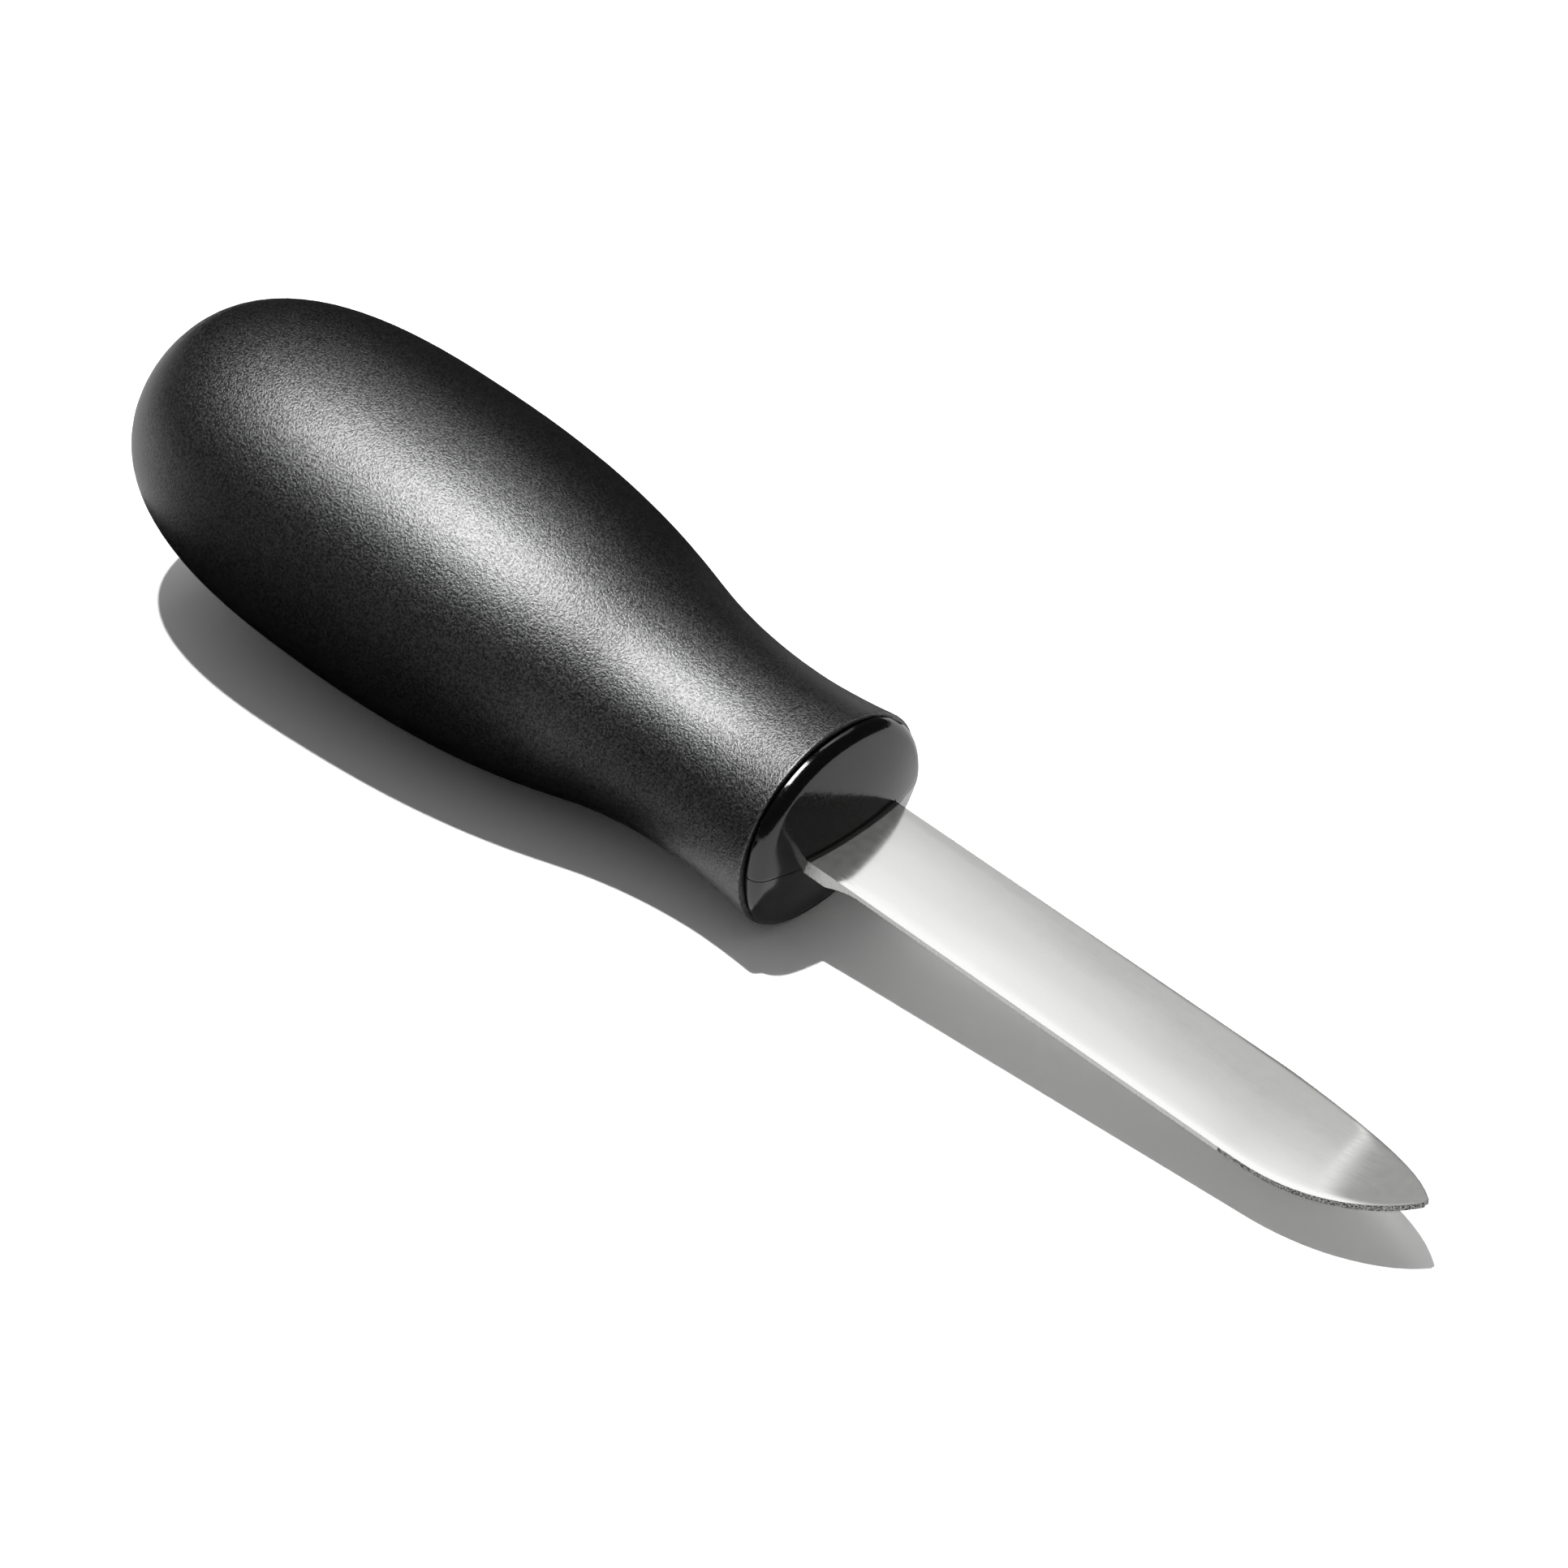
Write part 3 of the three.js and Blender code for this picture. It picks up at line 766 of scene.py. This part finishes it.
plastic = gloss_plastic()
dress(grip, "grip", "grip_rubber", soft_rubber())
dress(upper_half, "core_upper_half", "core_plastic", plastic)
dress(lower_half, "core_lower_half", "core_plastic", plastic)
dress(blade, "blade", "blade_steel", satin_steel(), ground_steel(), sheared_steel_painted_shade())
finish_blade_faces(blade)

pin_steel = drawn_steel()
for pin in ("tang_pin_front", "tang_pin_rear"):
    frame["nodes"][pin].data.materials.clear()
    frame["nodes"][pin].data.materials.append(pin_steel)

# The stage: a round white floor, and a white wall all round it, which only the camera sees.
STAGE_RADIUS = 4
STAGE_SIDES = 64
BACKDROP_HEIGHT = 6
RAY_KINDS = ("camera", "diffuse", "glossy", "transmission", "volume_scatter", "shadow")


def show_only_to(piece, ray_kind):
    for kind in RAY_KINDS:
        setattr(piece, "visible_" + kind, kind == ray_kind)


clear_selection()
bpy.ops.mesh.primitive_circle_add(vertices=STAGE_SIDES, radius=STAGE_RADIUS, fill_type="NGON")
floor = bpy.context.object
floor.name = "white_floor"
floor.data.materials.append(white_card())

clear_selection()
bpy.ops.mesh.primitive_cylinder_add(
    vertices=STAGE_SIDES, radius=STAGE_RADIUS, depth=BACKDROP_HEIGHT, end_fill_type="NOTHING",
    location=(0, 0, BACKDROP_HEIGHT / 2),
)
wall = bpy.context.object
wall.name = "white_backdrop"
wall.data.materials.append(backdrop_cloth())
show_only_to(wall, "camera")

# The lamps. Shares are of the light that makes a white surface white. The key and the fill light
# diffuse surfaces alone, and the gloss softbox is what rubber and plastic mirror.
ORIGIN = Vector((0, 0, 0))
LAMP_DISTANCE = 0.7
FULL_LIGHT = math.pi
KEY_SHARE = 0.65
KEY_FROM = Vector((-0.124, -0.03, 1))
KEY_ANGLE = math.radians(1.5)
FILL_SHARE = 0.12
FILL_ANGLE = math.radians(120)
GLOSS_FROM = Vector((-0.235, -0.205, 0.95))
GLOSS_SIZE = (0.38, 0.34)
GLOSS_RADIANCE = 16.5
STUDIO_LEVEL = 0.03


def facing(direction, distance, target, along=(1, 0, 0)):
    """A place at a distance from a target, turned to it, with its long side towards an axis."""
    z = Vector(direction).normalized()
    x = (Vector(along) - z * z.dot(Vector(along))).normalized()
    turn = Matrix((x, z.cross(x), z)).transposed().to_4x4()
    return Matrix.Translation(Vector(target) + z * distance) @ turn


def add_lamp(name, kind, **settings):
    """A lamp with its settings, still at the origin and shining straight down."""
    data = bpy.data.lights.new(name, kind)
    for setting, value in settings.items():
        setattr(data, setting, value)
    lamp = bpy.data.objects.new(name, data)
    bpy.context.collection.objects.link(lamp)
    return lamp


def add_softbox(name, place, width, height, radiance):
    """A rectangular softbox whose lit face has the given radiance."""
    energy = math.pi * width * height * radiance
    lamp = add_lamp(name, "AREA", shape="RECTANGLE", size=width, size_y=height, energy=energy)
    lamp.matrix_world = place
    return lamp


key = add_lamp("key_lamp", "SUN", energy=KEY_SHARE * FULL_LIGHT, angle=KEY_ANGLE)
key.matrix_world = facing(KEY_FROM, LAMP_DISTANCE, ORIGIN)
fill = add_lamp("studio_fill", "SUN", energy=FILL_SHARE * FULL_LIGHT, angle=FILL_ANGLE)
gloss_place = facing(GLOSS_FROM, LAMP_DISTANCE, ORIGIN)
gloss_box = add_softbox("gloss_softbox", gloss_place, *GLOSS_SIZE, GLOSS_RADIANCE)
for lamp in (key, fill):
    lamp.visible_glossy = False
gloss_box.visible_diffuse = False

# The scrim behind the knife hangs where the blade's flat mirrors it. It is a stack of strips that
# grow brighter towards the camera's left. The side scrim beside it falls in steps from a bright
# stripe to a dim field, and the bent point mirrors that. Edges are angles from the direction that
# the flat mirrors, in degrees.
SCRIM_FROM = Vector((-0.405, 0.571, 0.714))
SCRIM_BRIGHTER = Vector((-0.38, -0.8, 0.465))
STRIP_EDGES = (-12, -4, -2.5, -1, 0.5, 2, 3.5, 5, 16)
STRIP_FAR_END = 22
STRIP_MIDDLE_RADIANCE = 1.12
STRIP_RADIANCE_PER_DEGREE = 0.11
STRIP_RADIANCE_RANGE = (0.6, 1.5)
SIDE_STEP_EDGES = (-32, -7.8, -7, -6.2, -5.5, -4.8)
SIDE_STEP_RADIANCES = (0.32, 0.5, 0.75, 1.05, 1.3)
scrim_place = facing(SCRIM_FROM, LAMP_DISTANCE, ORIGIN, SCRIM_BRIGHTER)


def add_scrim(name, along, across, radiance):
    """A rectangle of the scrim's plane, between angles along and across its shading."""
    x_low, x_high = (LAMP_DISTANCE * math.tan(math.radians(angle)) for angle in along)
    y_low, y_high = (LAMP_DISTANCE * math.tan(math.radians(angle)) for angle in across)
    middle = Matrix.Translation(((x_low + x_high) / 2, (y_low + y_high) / 2, 0))
    add_softbox(name, scrim_place @ middle, x_high - x_low, y_high - y_low, radiance)


strip_ends = (SIDE_STEP_EDGES[-1], STRIP_FAR_END)
for number, edges in enumerate(zip(STRIP_EDGES, STRIP_EDGES[1:]), start=1):
    radiance = STRIP_MIDDLE_RADIANCE + STRIP_RADIANCE_PER_DEGREE * sum(edges) / 2
    radiance = min(max(radiance, STRIP_RADIANCE_RANGE[0]), STRIP_RADIANCE_RANGE[1])
    add_scrim(f"back_scrim_{number}", edges, strip_ends, radiance)
side_ends = (STRIP_EDGES[0], STRIP_EDGES[-1])
side_steps = zip(SIDE_STEP_EDGES, SIDE_STEP_EDGES[1:])
for number, (edges, radiance) in enumerate(zip(side_steps, SIDE_STEP_RADIANCES), start=1):
    add_scrim(f"side_scrim_{number}", side_ends, edges, radiance)

# Black cards on the floor and on edge, between two corners each: painted shade. Only reflections see them,
# and they keep the dark parts of rubber and plastic dark: the one under the handle is a painted shadow of
# the knife, and the others paint the floor and the studio darker where rubber and plastic mirror them.
CARD_LIFT = 0.1 * MM
PAINTED_SHADE_CARDS = {
    "under_floor_card": ((-0.095, -0.03, CARD_LIFT), (-0.01, 0.08, CARD_LIFT)),
    "near_floor_card": ((-0.13, -0.5, CARD_LIFT), (-0.02, -0.03, CARD_LIFT)),
    "left_floor_card": ((-0.4, -0.5, CARD_LIFT), (-0.13, -0.08, CARD_LIFT)),
    "far_card": ((-0.25, 0.045, 0), (-0.025, 0.045, 0.09)),
    "left_card": ((-0.28, -0.4, 0), (-0.28, 0.045, 0.12)),
}


def add_painted_shade_card(name, corner, opposite, material):
    """A card square to the axes. It stands on edge where its corners share an x or a y."""
    clear_selection()
    size = [b - a for a, b in zip(corner, opposite)]
    bpy.ops.mesh.primitive_plane_add(size=1, location=[(a + b) / 2 for a, b in zip(corner, opposite)])
    card = bpy.context.object
    card.name = name
    if size[1] == 0:
        card.rotation_euler.x = math.pi / 2
        card.scale = (size[0], size[2], 1)
    elif size[0] == 0:
        card.rotation_euler.y = math.pi / 2
        card.scale = (size[2], size[1], 1)
    else:
        card.scale = (size[0], size[1], 1)
    # Only reflections see the card, so it is painted shade in them.
    show_only_to(card, "glossy")
    card.data.materials.append(material)


shade_velvet = painted_shade_velvet_material()
for card_name, corners in PAINTED_SHADE_CARDS.items():
    add_painted_shade_card(card_name, *corners, shade_velvet)

# The studio round them is dim.
world = bpy.data.worlds.new("studio")
bpy.context.scene.world = world
world.use_nodes = True
sky = world.node_tree
sky.nodes.clear()
backdrop = node(sky, "ShaderNodeBackground", {"Color": (1, 1, 1, 1), "Strength": STUDIO_LEVEL})
node(sky, "ShaderNodeOutputWorld", links={"Surface": backdrop.outputs["Background"]})

# The camera. Its focal length is in pixels of the photograph, and its sensor in millimetres.
CAMERA_AZIMUTH = math.radians(43.016)
CAMERA_ELEVATION = math.radians(38.595)
CAMERA_DISTANCE = 1000.5 * MM
CAMERA_ROLL = 0.003
CAMERA_TARGET = Vector((-10.258 * MM, 11.857 * MM, 0))
SENSOR_WIDTH = 36
IMAGE_PIXELS = 1932
FOCAL_PIXELS = 12049

camera_data = bpy.data.cameras.new("camera")
camera_data.sensor_width = SENSOR_WIDTH
camera_data.lens = FOCAL_PIXELS / IMAGE_PIXELS * SENSOR_WIDTH
camera = bpy.data.objects.new("camera", camera_data)
bpy.context.collection.objects.link(camera)
back = Vector((
    math.sin(CAMERA_AZIMUTH) * math.cos(CAMERA_ELEVATION),
    -math.cos(CAMERA_AZIMUTH) * math.cos(CAMERA_ELEVATION),
    math.sin(CAMERA_ELEVATION),
))
level_across = Vector((0, 0, 1)).cross(back)
rolled_across = Matrix.Rotation(CAMERA_ROLL, 3, back) @ level_across
camera.matrix_world = facing(back, CAMERA_DISTANCE, CAMERA_TARGET, along=rolled_across)
bpy.context.scene.camera = camera
bpy.context.scene.view_settings.view_transform = "Standard"
